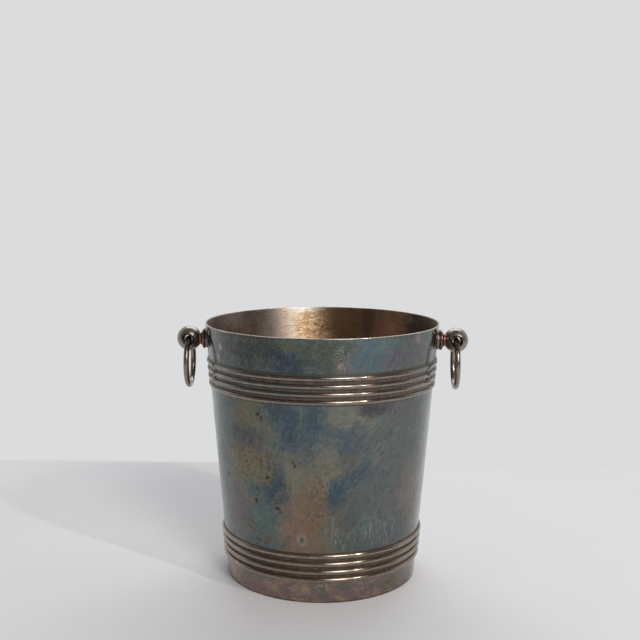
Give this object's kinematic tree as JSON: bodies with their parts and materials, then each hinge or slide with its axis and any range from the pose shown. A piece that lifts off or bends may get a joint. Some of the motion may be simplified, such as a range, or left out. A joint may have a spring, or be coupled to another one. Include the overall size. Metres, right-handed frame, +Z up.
{
  "type": "champagne bucket",
  "caption": "Tapered round metal bucket with raised reeds below the rim and above the foot, and a ball-mounted swinging ring handle on each side.",
  "frame": {"origin": "middle of the foot, on the table", "axes": "+Z up the bucket's axis, +X through the two handles, +Y along the holes that the rings hang in"},
  "size_m": [0.2502, 0.1998, 0.219],
  "materials": {
    "vessel_silver": "heavily tarnished silver plate over brass",
    "reed_silver": "tarnished silver plate, polished on the crests",
    "fitting_silver": "dull silver plate, worn to brass at the neck",
    "ring_silver": "handled silver plate, grey-brown",
    "inner_brass": "dull brass, darkened"
  },
  "bodies": {
    "bucket": {"bucket_wall": "vessel_silver", "foot_ring": "vessel_silver", "floor_plate": "vessel_silver", "upper_reed_1": "reed_silver", "upper_reed_2": "reed_silver", "upper_reed_3": "reed_silver", "upper_reed_4": "reed_silver", "lower_reed_1": "reed_silver", "lower_reed_2": "reed_silver", "lower_reed_3": "reed_silver", "lower_reed_4": "reed_silver", "left_collar": "fitting_silver", "left_ball_stud": "fitting_silver", "left_washer": "inner_brass", "left_nut": "inner_brass", "right_collar": "fitting_silver", "right_ball_stud": "fitting_silver", "right_washer": "inner_brass", "right_nut": "inner_brass"},
    "left_ring_handle": {"left_ring": "ring_silver"},
    "right_ring_handle": {"right_ring": "ring_silver"}
  },
  "joints": [
    {"name": "left_ring_swing", "type": "hinge", "parent": "bucket", "child": "left_ring_handle", "pos_m": [-0.11456, 0, 0.2035], "axis": [0, 1, 0], "range_deg": [-21.5, 220]},
    {"name": "right_ring_swing", "type": "hinge", "parent": "bucket", "child": "right_ring_handle", "pos_m": [0.11456, 0, 0.2035], "axis": [0, -1, 0], "range_deg": [-21.5, 220]}
  ]
}
